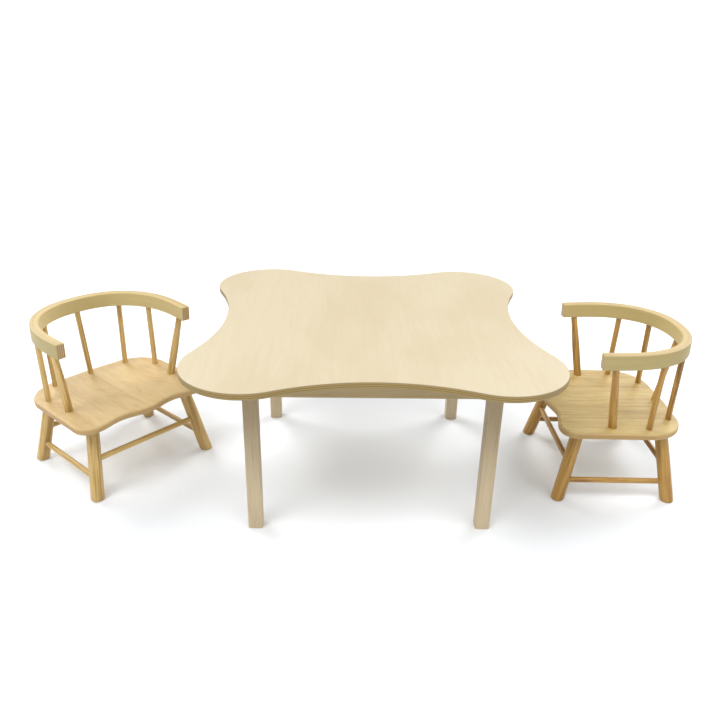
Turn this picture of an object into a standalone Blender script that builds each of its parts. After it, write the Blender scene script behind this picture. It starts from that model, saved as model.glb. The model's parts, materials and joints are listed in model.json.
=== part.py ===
"""Children's table and two chairs, in metres, +Z up, with the floor at Z = 0.

The table has a scalloped plywood top on four square legs, framed by aprons and corner blocks.
Each low armchair has a slab seat, splayed round legs tied by stretchers, and a U-shaped bent
arm rail on seven sticks. The origin is on the floor under the middle of the whole set.
"""

import math

import bmesh
import bpy
import numpy as np
from mathutils import Matrix, Vector

# Gap left between two pieces that touch, such as a tenon and its socket.
FIT = 0.0003

# Table.
TABLE_HEIGHT = 0.507
TOP_SPAN = 1.000
TOP_HOLLOW = 0.070
TOP_LOBE_RADIUS = 0.174
TOP_THICKNESS = 0.018
TOP_EDGE_RADIUS = 0.0025
TABLE_LEG_SPACING = 0.645
TABLE_LEG_SIDE = 0.040
TABLE_LEG_EDGE_RADIUS = 0.004
APRON_HEIGHT = 0.074
APRON_THICKNESS = 0.018
APRON_SETBACK = 0.006

# Corner blocks and the hardware that holds the table together.
BLOCK_HEIGHT = 0.052
BLOCK_THICKNESS = 0.028
BLOCK_LEG_GAP = 0.004
HANGER_RADIUS = 0.004
HANGER_IN_LEG = 0.022
HANGER_PAST_BLOCK = 0.014
HANGER_CLEARANCE = 0.0005
NUT_RADIUS = 0.0075
NUT_HEIGHT = 0.0065
NUT_FLANGE_RADIUS = 0.010
NUT_FLANGE_HEIGHT = 0.0015
SCREW_RADIUS = 0.002
SCREW_HEAD_RADIUS = 0.004
SCREW_HEAD_HEIGHT = 0.0025
SCREW_BITE = 0.012
TOP_SCREW_OFFSET = 0.016

# Chair seat, in the chair's own frame: +X to one side, +Y to its back.
SEAT_TOP = 0.242
SEAT_THICKNESS = 0.020
SEAT_HALF_WIDTH = 0.224
SEAT_FRONT = 0.210
SEAT_BACK = 0.166
SEAT_FRONT_CORNER = 0.048
SEAT_BACK_CORNER = 0.113
SEAT_BACK_BULGE = 0.004
SEAT_SCALLOP = 0.015
SEAT_EDGE_RADIUS = 0.006

# Arm rail: half of a superellipse at the back, running on into two arms.
RAIL_TOP_FRONT = 0.4875
RAIL_RISE = math.radians(1.83)
RAIL_HEIGHT = 0.045
RAIL_THICKNESS = 0.027
RAIL_HALF_WIDTH = 0.211
RAIL_DEPTH = 0.224
RAIL_SQUARENESS = 2.25
RAIL_CENTRE_BACK = -0.0566
ARM_LENGTH = 0.074
ARM_TOE_IN = 0.003
RAIL_EDGE_RADIUS = 0.003

# Sticks between the seat and the rail.
SPINDLE_RADIUS = 0.0085
POST_RADIUS = 0.012
POST_TOP_RADIUS = 0.0095
SPINDLE_IN_SEAT = 0.014
SPINDLE_IN_RAIL = 0.018
SPINDLE_INSET = 0.0300
SIDE_SPINDLE_INSET = 0.034
POST_INSET = 0.044
BACK_SPINDLE_SEAT_ANGLE = math.radians(80)
BACK_SPINDLE_RAIL_ANGLE = math.radians(55)
SIDE_SPINDLE_RAIL_ANGLE = math.radians(27)
POST_AHEAD = 0.033

# Chair legs and stretchers.
CHAIR_LEG_FOOT_RADIUS = 0.0198
CHAIR_LEG_TOP_RADIUS = 0.0188
CHAIR_FRONT_LEG_INSET = 0.063
CHAIR_BACK_LEG_INSET = 0.067
CHAIR_SIDE_LEG_INSET = 0.063
CHAIR_LEG_SPLAY_SIDE = 0.039
CHAIR_LEG_SPLAY_ENDS = 0.0455
CHAIR_FOOT_ROUNDING = 0.004
TENON_RADIUS = 0.0125
TENON_IN_SEAT = 0.015
STRETCHER_RADIUS = 0.0085
SIDE_STRETCHER_HEIGHT = 0.062
END_STRETCHER_HEIGHT = 0.117
STRETCHER_SHORT_OF_AXIS = 0.004

# Where each chair stands in the table's frame, and how far it is turned from facing -Y.
CHAIR_PLACES = {
    "left": (-0.817, 0.070, math.radians(47.9)),
    "right": (0.777, 0.007, math.radians(-91.1)),
}

# Facets and points along curves.
ROUND_SIDES = 16
THIN_ROUND_SIDES = 10
NUT_SIDES = 12
BEVEL_STEPS = 2
LOBE_POINTS = 13
WAIST_POINTS = 9
SEAT_CORNER_POINTS = 7
SEAT_EDGE_POINTS = 17
RAIL_POINTS = 33
ARM_POINTS = 4

# How far a cutter or a leg blank runs past the face that it is cut to.
OVERRUN = 0.030
WELD = 0.00001
SHARP = math.radians(40)
CORNERS = {"front_left": (-1, -1), "front_right": (1, -1), "back_left": (-1, 1), "back_right": (1, 1)}
SIDES = {"left": -1, "right": 1}


# ------------------------------------------------------------------ scene and materials

def clear_scene():
    for obj in list(bpy.data.objects):
        bpy.data.objects.remove(obj, do_unlink=True)


def new_collection(name, hidden=False):
    collection = bpy.data.collections.new(name)
    bpy.context.scene.collection.children.link(collection)
    collection.hide_render = hidden
    return collection


def new_material(name, colour, roughness, metallic=0.0):
    material = bpy.data.materials.new(name)
    material.use_nodes = True
    shader = material.node_tree.nodes["Principled BSDF"]
    shader.inputs["Base Color"].default_value = (*colour, 1.0)
    shader.inputs["Roughness"].default_value = roughness
    shader.inputs["Metallic"].default_value = metallic
    material.diffuse_color = (*colour, 1.0)
    return material


def new_empty(name, parent=None, location=(0.0, 0.0, 0.0), turn=0.0):
    empty = bpy.data.objects.new(name, None)
    PARTS.objects.link(empty)
    empty.parent = parent
    empty.location = location
    empty.rotation_euler = (0.0, 0.0, turn)
    return empty


def new_object(name, mesh, parent, material, location=(0.0, 0.0, 0.0)):
    """A part's object. A cutter has no material, is left out of renders and drawn as wire."""
    obj = bpy.data.objects.new(name, mesh)
    obj.parent = parent
    obj.location = location
    if material is None:
        CUTTERS.objects.link(obj)
        obj.hide_render = True
        obj.display_type = "WIRE"
        return obj
    PARTS.objects.link(obj)
    mesh.materials.append(material)
    mesh.shade_smooth()
    mesh.set_sharp_from_angle(angle=SHARP)
    return obj


def mesh_from(bm, name):
    bmesh.ops.recalc_face_normals(bm, faces=bm.faces)
    mesh = bpy.data.meshes.new(name)
    bm.to_mesh(mesh)
    bm.free()
    return mesh


# ------------------------------------------------------------------ shapes

def aligned(start, end):
    """A matrix at start whose Z axis points at end."""
    direction = Vector(end) - Vector(start)
    return Matrix.Translation(start) @ direction.to_track_quat("Z", "Y").to_matrix().to_4x4()


def add_rod(bm, start, end, start_radius, end_radius, sides=ROUND_SIDES):
    """A round bar from start to end, added to the bmesh."""
    length = (Vector(end) - Vector(start)).length
    middle = aligned(start, end) @ Matrix.Translation((0.0, 0.0, length / 2))
    bmesh.ops.create_cone(
        bm, cap_ends=True, segments=sides, radius1=start_radius, radius2=end_radius,
        depth=length, matrix=middle)


def add_turned(bm, profile, placement, sides=THIN_ROUND_SIDES):
    """A closed turned solid: profile is (radius, height) pairs, which start and end on the axis."""
    verts = [bm.verts.new(placement @ Vector((radius, 0.0, height))) for radius, height in profile]
    edges = [bm.edges.new(pair) for pair in zip(verts, verts[1:])]
    centre = placement @ Vector((0.0, 0.0, 0.0))
    axis = placement.to_3x3() @ Vector((0.0, 0.0, 1.0))
    bmesh.ops.spin(
        bm, geom=verts + edges, cent=centre, axis=axis, steps=sides, angle=math.tau)
    bmesh.ops.remove_doubles(bm, verts=bm.verts, dist=WELD)


def outline_mesh(name, points, thickness):
    """A flat closed outline, filled and made thickness thick about Z = 0, as a welded mesh."""
    curve = bpy.data.curves.new(name, "CURVE")
    curve.dimensions = "2D"
    curve.fill_mode = "BOTH"
    curve.extrude = thickness / 2
    spline = curve.splines.new("POLY")
    spline.points.add(len(points) - 1)
    for point, (x, y) in zip(spline.points, points):
        point.co = (x, y, 0.0, 1.0)
    spline.use_cyclic_u = True
    outline = bpy.data.objects.new(name, curve)
    bpy.context.scene.collection.objects.link(outline)
    evaluated = outline.evaluated_get(bpy.context.evaluated_depsgraph_get())
    mesh = bpy.data.meshes.new_from_object(evaluated)
    bpy.data.objects.remove(outline)
    bm = bmesh.new()
    bm.from_mesh(mesh)
    bmesh.ops.remove_doubles(bm, verts=bm.verts, dist=WELD)
    bmesh.ops.dissolve_limit(bm, angle_limit=WELD, verts=bm.verts, edges=bm.edges)
    bpy.data.meshes.remove(mesh)
    return mesh_from(bm, name)


def arc(centre, radius, start, end, count):
    """Points on a circle arc, from the angle start to the angle end."""
    angles = np.linspace(start, end, count)
    return [(centre[0] + radius * math.cos(a), centre[1] + radius * math.sin(a)) for a in angles]


def add_bevel(obj, width):
    bevel = obj.modifiers.new("round_edges", "BEVEL")
    bevel.width = width
    bevel.segments = BEVEL_STEPS
    bevel.limit_method = "ANGLE"
    bevel.angle_limit = SHARP


def add_boolean(obj, cutter, operation="DIFFERENCE"):
    boolean = obj.modifiers.new(cutter.name, "BOOLEAN")
    boolean.operation = operation
    boolean.solver = "EXACT"
    boolean.object = cutter


def rod_cutter(name, rods, parent, gap=FIT):
    """One cutter of all the rods, each grown by the gap: (start, end, start radius, end radius, sides)."""
    bm = bmesh.new()
    for start, end, start_radius, end_radius, sides in rods:
        along = (Vector(end) - Vector(start)).normalized() * gap
        add_rod(bm, Vector(start) - along, Vector(end) + along, start_radius + gap, end_radius + gap, sides)
    return new_object(name, mesh_from(bm, name), parent, None)


# ------------------------------------------------------------------ table

def table_top_outline():
    """Four round lobes joined by shallow hollow arcs, each tangent to the lobes beside it."""
    lobe_centre = TOP_SPAN / 2 - TOP_LOBE_RADIUS
    waist = TOP_SPAN / 2 - TOP_HOLLOW
    waist_inside = waist - lobe_centre
    hollow_radius = (lobe_centre**2 + waist_inside**2 - TOP_LOBE_RADIUS**2) / (
        2 * (TOP_LOBE_RADIUS - waist_inside))
    hollow_centre = waist + hollow_radius
    half_angle = math.atan2(lobe_centre, hollow_centre - lobe_centre)
    points = []
    for quarter in range(4):
        turn = quarter * math.pi / 2
        hollow = arc((hollow_centre, 0.0), hollow_radius,
                     math.pi + half_angle, math.pi - half_angle, WAIST_POINTS)
        lobe = arc((lobe_centre, lobe_centre), TOP_LOBE_RADIUS,
                   -half_angle, math.pi / 2 + half_angle, LOBE_POINTS)
        for x, y in hollow[:-1] + lobe[:-1]:
            points.append((x * math.cos(turn) - y * math.sin(turn),
                           x * math.sin(turn) + y * math.cos(turn)))
    return points


def block_outline(wall, near, far):
    """The corner block in plan, for the corner at +X +Y: its ends lie flat on the two aprons."""
    return [(wall, far), (far, wall), (near, wall), (wall, near)]


def make_box(name, size, parent, material, location):
    bm = bmesh.new()
    bmesh.ops.create_cube(bm, size=1.0, matrix=Matrix.Diagonal((*size, 1.0)))
    return new_object(name, mesh_from(bm, name), parent, material, location)


def make_table(table):
    leg_centre = TABLE_LEG_SPACING / 2
    leg_inner = leg_centre - TABLE_LEG_SIDE / 2
    under_top = TABLE_HEIGHT - TOP_THICKNESS
    frame_top = under_top - FIT
    apron_inner = leg_centre + TABLE_LEG_SIDE / 2 - APRON_SETBACK - APRON_THICKNESS

    top = new_object("table_top", outline_mesh("table_top", table_top_outline(), TOP_THICKNESS),
                     table, BIRCH_PLY, (0.0, 0.0, TABLE_HEIGHT - TOP_THICKNESS / 2))
    add_bevel(top, TOP_EDGE_RADIUS)

    # The block's long face stands off the leg's inner corner, which the hanger bolt pulls in.
    block_wall = apron_inner - FIT
    block_far = 2 * leg_inner - math.sqrt(2) * BLOCK_LEG_GAP - block_wall
    block_near = block_far - math.sqrt(2) * BLOCK_THICKNESS
    block_back = (block_wall + block_near) / 2
    block_middle = (block_wall + (block_near + block_far) / 2) / 2
    block_low = frame_top - BLOCK_HEIGHT

    bolt_ends = {}
    for corner, (sx, sy) in CORNERS.items():
        diagonal = Vector((sx, sy, 0.0)).normalized()
        bolt_height = frame_top - BLOCK_HEIGHT / 2
        back_face = Vector((sx * block_back, sy * block_back, bolt_height))
        leg_corner = Vector((sx * leg_inner, sy * leg_inner, bolt_height))
        bolt_ends[corner] = (back_face - diagonal * HANGER_PAST_BLOCK, leg_corner + diagonal * HANGER_IN_LEG)
    bolt_rods = [(*ends, HANGER_RADIUS, HANGER_RADIUS, THIN_ROUND_SIDES) for ends in bolt_ends.values()]
    bolt_bores = rod_cutter("hanger_bolt_bores", bolt_rods, table, HANGER_CLEARANCE)

    # One screw rises through each block beside its bolt, and bites into the top.
    screw_ends = {}
    for corner, (sx, sy) in CORNERS.items():
        x, y = block_middle + TOP_SCREW_OFFSET, block_middle - TOP_SCREW_OFFSET
        seat = Vector((sx * x, sy * y, block_low + SCREW_HEAD_HEIGHT))
        screw_ends[corner] = (seat, Vector((seat.x, seat.y, under_top + SCREW_BITE)))
    screw_bores = screw_cutter("top_screw_bores", screw_ends.values(), table)
    add_boolean(top, screw_bores)

    for corner, (sx, sy) in CORNERS.items():
        leg = make_box(f"table_leg_{corner}", (TABLE_LEG_SIDE, TABLE_LEG_SIDE, frame_top), table, BIRCH,
                       (sx * leg_centre, sy * leg_centre, frame_top / 2))
        add_bevel(leg, TABLE_LEG_EDGE_RADIUS)
        add_boolean(leg, bolt_bores)
        outline = [(sx * x, sy * y) for x, y in block_outline(block_wall, block_near, block_far)]
        name = f"corner_block_{corner}"
        block = new_object(name, outline_mesh(name, outline, BLOCK_HEIGHT), table, BIRCH,
                           (0.0, 0.0, block_low + BLOCK_HEIGHT / 2))
        add_boolean(block, bolt_bores)
        add_boolean(block, screw_bores)
        make_fasteners(corner, table, bolt_ends[corner], screw_ends[corner])

    apron_length = 2 * (leg_inner - FIT)
    apron_middle = apron_inner + APRON_THICKNESS / 2
    for name, (x, y) in {"front": (0, -1), "back": (0, 1), "left": (-1, 0), "right": (1, 0)}.items():
        size = (apron_length, APRON_THICKNESS, APRON_HEIGHT)
        if x:
            size = (APRON_THICKNESS, apron_length, APRON_HEIGHT)
        make_box(f"apron_{name}", size, table, BIRCH,
                 (x * apron_middle, y * apron_middle, frame_top - APRON_HEIGHT / 2))


def screw_profile(length, gap=0.0, head=SCREW_HEAD_HEIGHT):
    """A flat-headed screw along +Z from under its head; the gap grows it into its bore."""
    return [(0.0, length + gap), (SCREW_RADIUS + gap, length + gap), (SCREW_RADIUS + gap, gap),
            (SCREW_HEAD_RADIUS + gap, gap), (SCREW_HEAD_RADIUS + gap, -head), (0.0, -head)]


def screw_cutter(name, screws, parent):
    """The bores for a set of screws, each open behind its head."""
    bm = bmesh.new()
    for seat, tip in screws:
        add_turned(bm, screw_profile((tip - seat).length, FIT, OVERRUN), aligned(seat, tip))
    return new_object(name, mesh_from(bm, name), parent, None)


def make_fasteners(corner, table, bolt, screw):
    """The hanger bolt and flanged nut that hold a leg, and the screw that holds the top."""
    name = f"hanger_bolt_{corner}"
    bm = bmesh.new()
    add_rod(bm, *bolt, HANGER_RADIUS, HANGER_RADIUS, THIN_ROUND_SIDES)
    new_object(name, mesh_from(bm, name), table, STEEL)

    name = f"hanger_nut_{corner}"
    start, end = bolt
    flange_top = NUT_HEIGHT + NUT_FLANGE_HEIGHT
    seat = start + (end - start).normalized() * (HANGER_PAST_BLOCK - flange_top - FIT)
    profile = [(0.0, flange_top), (NUT_FLANGE_RADIUS, flange_top), (NUT_FLANGE_RADIUS, NUT_HEIGHT),
               (NUT_RADIUS, NUT_HEIGHT), (NUT_RADIUS, 0.0), (0.0, 0.0)]
    bm = bmesh.new()
    add_turned(bm, profile, aligned(seat, end), NUT_SIDES)
    nut = new_object(name, mesh_from(bm, name), table, STEEL)
    bore_rod = (start, end, HANGER_RADIUS, HANGER_RADIUS, THIN_ROUND_SIDES)
    bore = rod_cutter(f"nut_bore_{corner}", [bore_rod], table)
    add_boolean(nut, bore)

    name = f"top_screw_{corner}"
    seat, tip = screw
    bm = bmesh.new()
    add_turned(bm, screw_profile((tip - seat).length), aligned(seat, tip))
    new_object(name, mesh_from(bm, name), table, STEEL)


# ------------------------------------------------------------------ chair

def seat_outline():
    """The seat in plan: round corners, a slightly bowed back and a front edge with two shallow dips."""
    crest = SEAT_HALF_WIDTH - SEAT_FRONT_CORNER
    back_corner = (SEAT_HALF_WIDTH - SEAT_BACK_CORNER, SEAT_BACK - SEAT_BACK_BULGE - SEAT_BACK_CORNER)
    points = []
    for x in np.linspace(-crest, crest, SEAT_EDGE_POINTS):
        dip = SEAT_SCALLOP * (1 - math.cos(math.tau * x / crest)) / 2
        points.append((x, dip - SEAT_FRONT))
    points += arc((crest, SEAT_FRONT_CORNER - SEAT_FRONT), SEAT_FRONT_CORNER,
                  -math.pi / 2, 0.0, SEAT_CORNER_POINTS)[1:]
    points += arc(back_corner, SEAT_BACK_CORNER, 0.0, math.pi / 2, SEAT_CORNER_POINTS)
    for x in np.linspace(back_corner[0], -back_corner[0], SEAT_CORNER_POINTS)[1:-1]:
        bulge = SEAT_BACK_BULGE * (1 + math.cos(math.pi * x / back_corner[0])) / 2
        points.append((x, SEAT_BACK - SEAT_BACK_BULGE + bulge))
    points += arc((-back_corner[0], back_corner[1]), SEAT_BACK_CORNER,
                  math.pi / 2, math.pi, SEAT_CORNER_POINTS)
    points += arc((-crest, SEAT_FRONT_CORNER - SEAT_FRONT), SEAT_FRONT_CORNER,
                  math.pi, 1.5 * math.pi, SEAT_CORNER_POINTS)[:-1]
    return points


def rail_point(angle):
    """A point of the rail's middle line, round the back: 0 at the +X side, a right angle at the back."""
    power = 2 / RAIL_SQUARENESS
    x = math.copysign(RAIL_HALF_WIDTH * abs(math.cos(angle)) ** power, math.cos(angle))
    return x, RAIL_CENTRE_BACK + RAIL_DEPTH * math.sin(angle) ** power


def arm_point(ahead, side):
    """A point of the rail's middle line on one arm, ahead of where the bend starts."""
    return side * (RAIL_HALF_WIDTH - ARM_TOE_IN * (ahead / ARM_LENGTH) ** 2), RAIL_CENTRE_BACK - ahead


def rail_outline():
    """The rail in plan: its middle line offset by half the thickness each way."""
    arm = list(np.linspace(ARM_LENGTH, 0.0, ARM_POINTS, endpoint=False))
    line = [arm_point(ahead, 1) for ahead in arm]
    line += [rail_point(angle) for angle in np.linspace(0.0, math.pi, RAIL_POINTS)]
    line += [arm_point(ahead, -1) for ahead in reversed(arm)]
    line = np.array(line)
    along = np.gradient(line, axis=0)
    along /= np.linalg.norm(along, axis=1)[:, None]
    outward = np.column_stack((along[:, 1], -along[:, 0])) * RAIL_THICKNESS / 2
    return [tuple(p) for p in line + outward] + [tuple(p) for p in (line - outward)[::-1]]


def rail_under(y):
    """Height of the rail's underside at a place y behind the chair's middle."""
    front = RAIL_CENTRE_BACK - ARM_LENGTH
    return RAIL_TOP_FRONT - RAIL_HEIGHT / math.cos(RAIL_RISE) + (y - front) * math.tan(RAIL_RISE)


def stick_lines():
    """Name: (place on the seat, place under the rail, foot radius, top radius) of every stick."""
    corner = (SEAT_HALF_WIDTH - SEAT_BACK_CORNER, SEAT_BACK - SEAT_BACK_BULGE - SEAT_BACK_CORNER)
    reach = SEAT_BACK_CORNER - SPINDLE_INSET
    sticks = {"back_spindle_middle": ((0.0, SEAT_BACK - SPINDLE_INSET), rail_point(math.pi / 2),
                                      SPINDLE_RADIUS, SPINDLE_RADIUS)}
    for side, sign in SIDES.items():
        foot = (sign * (corner[0] + reach * math.cos(BACK_SPINDLE_SEAT_ANGLE)),
                corner[1] + reach * math.sin(BACK_SPINDLE_SEAT_ANGLE))
        top = rail_point(BACK_SPINDLE_RAIL_ANGLE)
        sticks[f"back_spindle_{side}"] = (foot, (sign * top[0], top[1]), SPINDLE_RADIUS, SPINDLE_RADIUS)
        foot = (sign * (SEAT_HALF_WIDTH - SIDE_SPINDLE_INSET), corner[1])
        top = rail_point(SIDE_SPINDLE_RAIL_ANGLE)
        sticks[f"side_spindle_{side}"] = (foot, (sign * top[0], top[1]), SPINDLE_RADIUS, SPINDLE_RADIUS)
        foot = (sign * (SEAT_HALF_WIDTH - POST_INSET), RAIL_CENTRE_BACK)
        sticks[f"arm_post_{side}"] = (foot, arm_point(POST_AHEAD, sign), POST_RADIUS, POST_TOP_RADIUS)
    return sticks


def stick_ends(foot, top):
    """Both ends of a stick, sunk into the seat and the rail along its own line."""
    low = Vector((*foot, SEAT_TOP))
    high = Vector((*top, rail_under(top[1])))
    along = (high - low) / (high.z - low.z)
    return low - along * SPINDLE_IN_SEAT, high + along * SPINDLE_IN_RAIL


def make_chair_leg(name, sx, sy, chair):
    """A splayed leg, cut level at the floor and under the seat, with a round tenon on top."""
    under_seat = SEAT_TOP - SEAT_THICKNESS
    end = SEAT_BACK - CHAIR_BACK_LEG_INSET if sy > 0 else SEAT_FRONT - CHAIR_FRONT_LEG_INSET
    head = Vector((sx * (SEAT_HALF_WIDTH - CHAIR_SIDE_LEG_INSET), sy * end, under_seat))
    foot = Vector((head.x + sx * CHAIR_LEG_SPLAY_SIDE, head.y + sy * CHAIR_LEG_SPLAY_ENDS, 0.0))
    along = (head - foot) / under_seat
    bm = bmesh.new()
    add_rod(bm, foot - along * OVERRUN - foot, head + along * OVERRUN - foot,
            CHAIR_LEG_FOOT_RADIUS, CHAIR_LEG_TOP_RADIUS)
    for height, facing in ((0.0, -1.0), (under_seat - FIT, 1.0)):
        cut = bmesh.ops.bisect_plane(
            bm, geom=bm.verts[:] + bm.edges[:] + bm.faces[:], plane_co=(0.0, 0.0, height),
            plane_no=(0.0, 0.0, facing), clear_outer=True)
        rim = [edge for edge in cut["geom_cut"] if isinstance(edge, bmesh.types.BMEdge)]
        bmesh.ops.contextual_create(bm, geom=rim)
        if height == 0.0:
            bmesh.ops.bevel(bm, geom=rim, offset=CHAIR_FOOT_ROUNDING, segments=BEVEL_STEPS,
                            profile=0.5, affect="EDGES")
    leg = new_object(name, mesh_from(bm, name), chair, BEECH, foot)
    tenon = (head - along * OVERRUN / 2, head + along * TENON_IN_SEAT)
    return leg, foot, along, tenon


def make_chair(side):
    x, y, turn = CHAIR_PLACES[side]
    chair = new_empty(f"{side}_chair", SET, (x, y, 0.0), turn)
    prefix = f"{side}_chair_"

    seat_mesh = outline_mesh(prefix + "seat", seat_outline(), SEAT_THICKNESS)
    seat = new_object(prefix + "seat", seat_mesh, chair, BEECH, (0.0, 0.0, SEAT_TOP - SEAT_THICKNESS / 2))
    add_bevel(seat, SEAT_EDGE_RADIUS)

    rail_mesh = outline_mesh(prefix + "arm_rail", rail_outline(), RAIL_HEIGHT)
    middle = rail_under(0.0) + RAIL_HEIGHT / math.cos(RAIL_RISE) / 2
    rail = new_object(prefix + "arm_rail", rail_mesh, chair, BENT_PLY, (0.0, 0.0, middle))
    rail.rotation_euler = (RAIL_RISE, 0.0, 0.0)
    add_bevel(rail, RAIL_EDGE_RADIUS)

    rods = []
    for name, (foot, top, foot_radius, top_radius) in stick_lines().items():
        low, high = stick_ends(foot, top)
        bm = bmesh.new()
        add_rod(bm, (0.0, 0.0, 0.0), high - low, foot_radius, top_radius)
        new_object(prefix + name, mesh_from(bm, prefix + name), chair, BEECH, low)
        rods.append((low, high, foot_radius, top_radius, ROUND_SIDES))
    stick_sockets = rod_cutter(prefix + "stick_sockets", rods, chair)
    add_boolean(seat, stick_sockets)
    add_boolean(rail, stick_sockets)

    legs, axes, tenons = {}, {}, []
    for corner, (sx, sy) in CORNERS.items():
        leg, foot, along, tenon = make_chair_leg(f"{prefix}leg_{corner}", sx, sy, chair)
        legs[corner] = leg
        axes[corner] = (foot, along)
        tenons.append((*tenon, TENON_RADIUS, TENON_RADIUS, ROUND_SIDES))
        add_boolean(leg, rod_cutter(f"{prefix}tenon_{corner}", [tenons[-1]], chair, 0.0), "UNION")
    add_boolean(seat, rod_cutter(prefix + "tenon_sockets", tenons, chair))

    stretchers = []
    for name, ends, height in (
            ("front", ("front_left", "front_right"), END_STRETCHER_HEIGHT),
            ("back", ("back_left", "back_right"), END_STRETCHER_HEIGHT),
            ("left", ("front_left", "back_left"), SIDE_STRETCHER_HEIGHT),
            ("right", ("front_right", "back_right"), SIDE_STRETCHER_HEIGHT)):
        start, end = (axes[corner][0] + axes[corner][1] * height for corner in ends)
        inward = (end - start).normalized() * STRETCHER_SHORT_OF_AXIS
        start, end = start + inward, end - inward
        bm = bmesh.new()
        add_rod(bm, (0.0, 0.0, 0.0), end - start, STRETCHER_RADIUS, STRETCHER_RADIUS)
        node = f"{prefix}stretcher_{name}"
        new_object(node, mesh_from(bm, node), chair, BEECH, start)
        stretchers.append((start, end, STRETCHER_RADIUS, STRETCHER_RADIUS, ROUND_SIDES))
    sockets = rod_cutter(prefix + "stretcher_sockets", stretchers, chair)
    for leg in legs.values():
        add_boolean(leg, sockets)


# ------------------------------------------------------------------ the set

def centre_on_floor():
    """Moves the whole set so that the middle of its plan is at the origin."""
    bpy.context.view_layer.update()
    corners = []
    for obj in PARTS.objects:
        if obj.type == "MESH":
            corners += [obj.matrix_world @ Vector(corner) for corner in obj.bound_box]
    corners = np.array(corners)
    middle = (corners.min(axis=0) + corners.max(axis=0)) / 2
    SET.location = (-middle[0], -middle[1], 0.0)


clear_scene()
PARTS = new_collection("kids_table_and_chairs")
CUTTERS = new_collection("cutters", hidden=True)
BIRCH_PLY = new_material("birch_plywood", (0.82, 0.72, 0.54), 0.38)
BIRCH = new_material("birch", (0.72, 0.62, 0.45), 0.45)
BENT_PLY = new_material("bent_plywood", (0.74, 0.61, 0.38), 0.42)
BEECH = new_material("lacquered_beech", (0.68, 0.46, 0.23), 0.40)
STEEL = new_material("zinc_plated_steel", (0.62, 0.63, 0.65), 0.35, 1.0)
SET = new_empty("set")
make_table(new_empty("table", SET))
for chair_side in CHAIR_PLACES:
    make_chair(chair_side)
centre_on_floor()
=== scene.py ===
"""Finished look of the kids table and chairs: fine surfaces, woods, steel, studio and camera.

Every visible piece stands where its CAD node is and takes its size from that node. Lengths are in
metres, +Z is up and the floor is at Z = 0. A chair's own frame has +X to one side and +Y to its back.
"""

import json
import math
import zlib

import bmesh
import bpy
import numpy as np
from mathutils import Matrix, Vector


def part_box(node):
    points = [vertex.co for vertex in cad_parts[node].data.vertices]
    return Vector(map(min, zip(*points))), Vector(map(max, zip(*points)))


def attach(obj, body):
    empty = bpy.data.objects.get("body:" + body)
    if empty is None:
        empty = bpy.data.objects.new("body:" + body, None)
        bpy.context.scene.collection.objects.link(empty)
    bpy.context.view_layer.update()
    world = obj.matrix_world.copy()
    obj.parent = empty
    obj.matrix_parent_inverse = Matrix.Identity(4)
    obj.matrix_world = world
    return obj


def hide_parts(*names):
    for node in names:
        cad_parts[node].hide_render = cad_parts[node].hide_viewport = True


# Table top: four round lobes joined by shallow hollow arcs.
TOP_HOLLOW = 0.070
TOP_LOBE_RADIUS = 0.174
TOP_EDGE_RADIUS = 0.0025
TOP_PLY = 0.00258

# Table frame and hardware.
LEG_EDGE_RADIUS = 0.004
LEG_END_ROUNDING = 0.0012
BOARD_ROUNDING = 0.0012
BLOCK_THICKNESS = 0.028
BOLT_PITCH = 0.00125
BOLT_THREAD_DEPTH = 0.0006
BOLT_THREAD_LENGTH = 0.022
LAG_PITCH = 0.0028
LAG_THREAD_DEPTH = 0.0010
LAG_THREAD_LENGTH = 0.020
NUT_FLANGE_HEIGHT = 0.0015
NUT_CHAMFER = 0.0007
NUT_BORE_GAP = 0.0002
SCREW_PITCH = 0.0016
SCREW_THREAD_DEPTH = 0.0005

# Seat, in the chair's own frame.
SEAT_FRONT_CORNER = 0.048
SEAT_BACK_CORNER = 0.113
SEAT_BACK_BULGE = 0.004
SEAT_SCALLOP = 0.015
SEAT_EDGE_RADIUS = 0.006
STAVE_WIDTH = 0.112

# Arm rail: half of a superellipse at the back, running on into two arms.
RAIL_RISE = math.radians(1.83)
RAIL_THICKNESS = 0.027
RAIL_SQUARENESS = 2.25
ARM_LENGTH = 0.074
ARM_TOE_IN = 0.003
RAIL_EDGE_RADIUS = 0.003
RAIL_PLY = 0.00302
RAIL_TOP_LINES = 0.45
RAIL_FIRST_STEP = 0.006
END_FACE_BAND = 0.0005

# Legs and sticks of the chair. A tenon keeps its radius up to TENON_SHORT below the top of its CAD node.
# A tapered stick changes from its lower to its upper radius between the two shares of its length.
CHAIR_FOOT_ROUNDING = 0.006
SOLE_INSET = 0.003
TENON_SHORT = 0.004
TENON_CHAMFER = 0.0005
ROD_END_CHAMFER = 0.0008
TAPER_SPAN = (0.4, 0.9)

# Heights that pick out the parts of a CAD leg: its sole, its full foot, its shoulder and its tip.
SOLE_BAND = 0.0005
FULL_FOOT = (0.0036, 0.020)
SHOULDER_BAND = 0.0008
TIP_BAND = 0.008

# Fineness of the surfaces.
ROUND_SIDES = 48
THREAD_SIDES = 24
THREAD_STEPS = 6
EDGE_STEPS = 5
CORNER_STEPS = 7
RAIL_STEPS = 150
WEAR_BAND = 0.003
SHARP = math.radians(38)

# Camera: the place, the direction it looks in and the lens on a 36 mm sensor.
CAMERA_PLACE = (-0.0145, -1.9501, 1.2512)
CAMERA_YAW = math.radians(1.66)
CAMERA_DOWN = math.radians(24.25)
CAMERA_ROLL = math.radians(1.31)
CAMERA_LENS = 34.805

# Studio: the floor's size and colour, and how bright the surround is as light and to the camera.
FLOOR_RADIUS = 40.0
PAPER = (0.75, 0.775, 0.805)
GLOW = 0.20
GLOW_SEEN = 1.1

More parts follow.
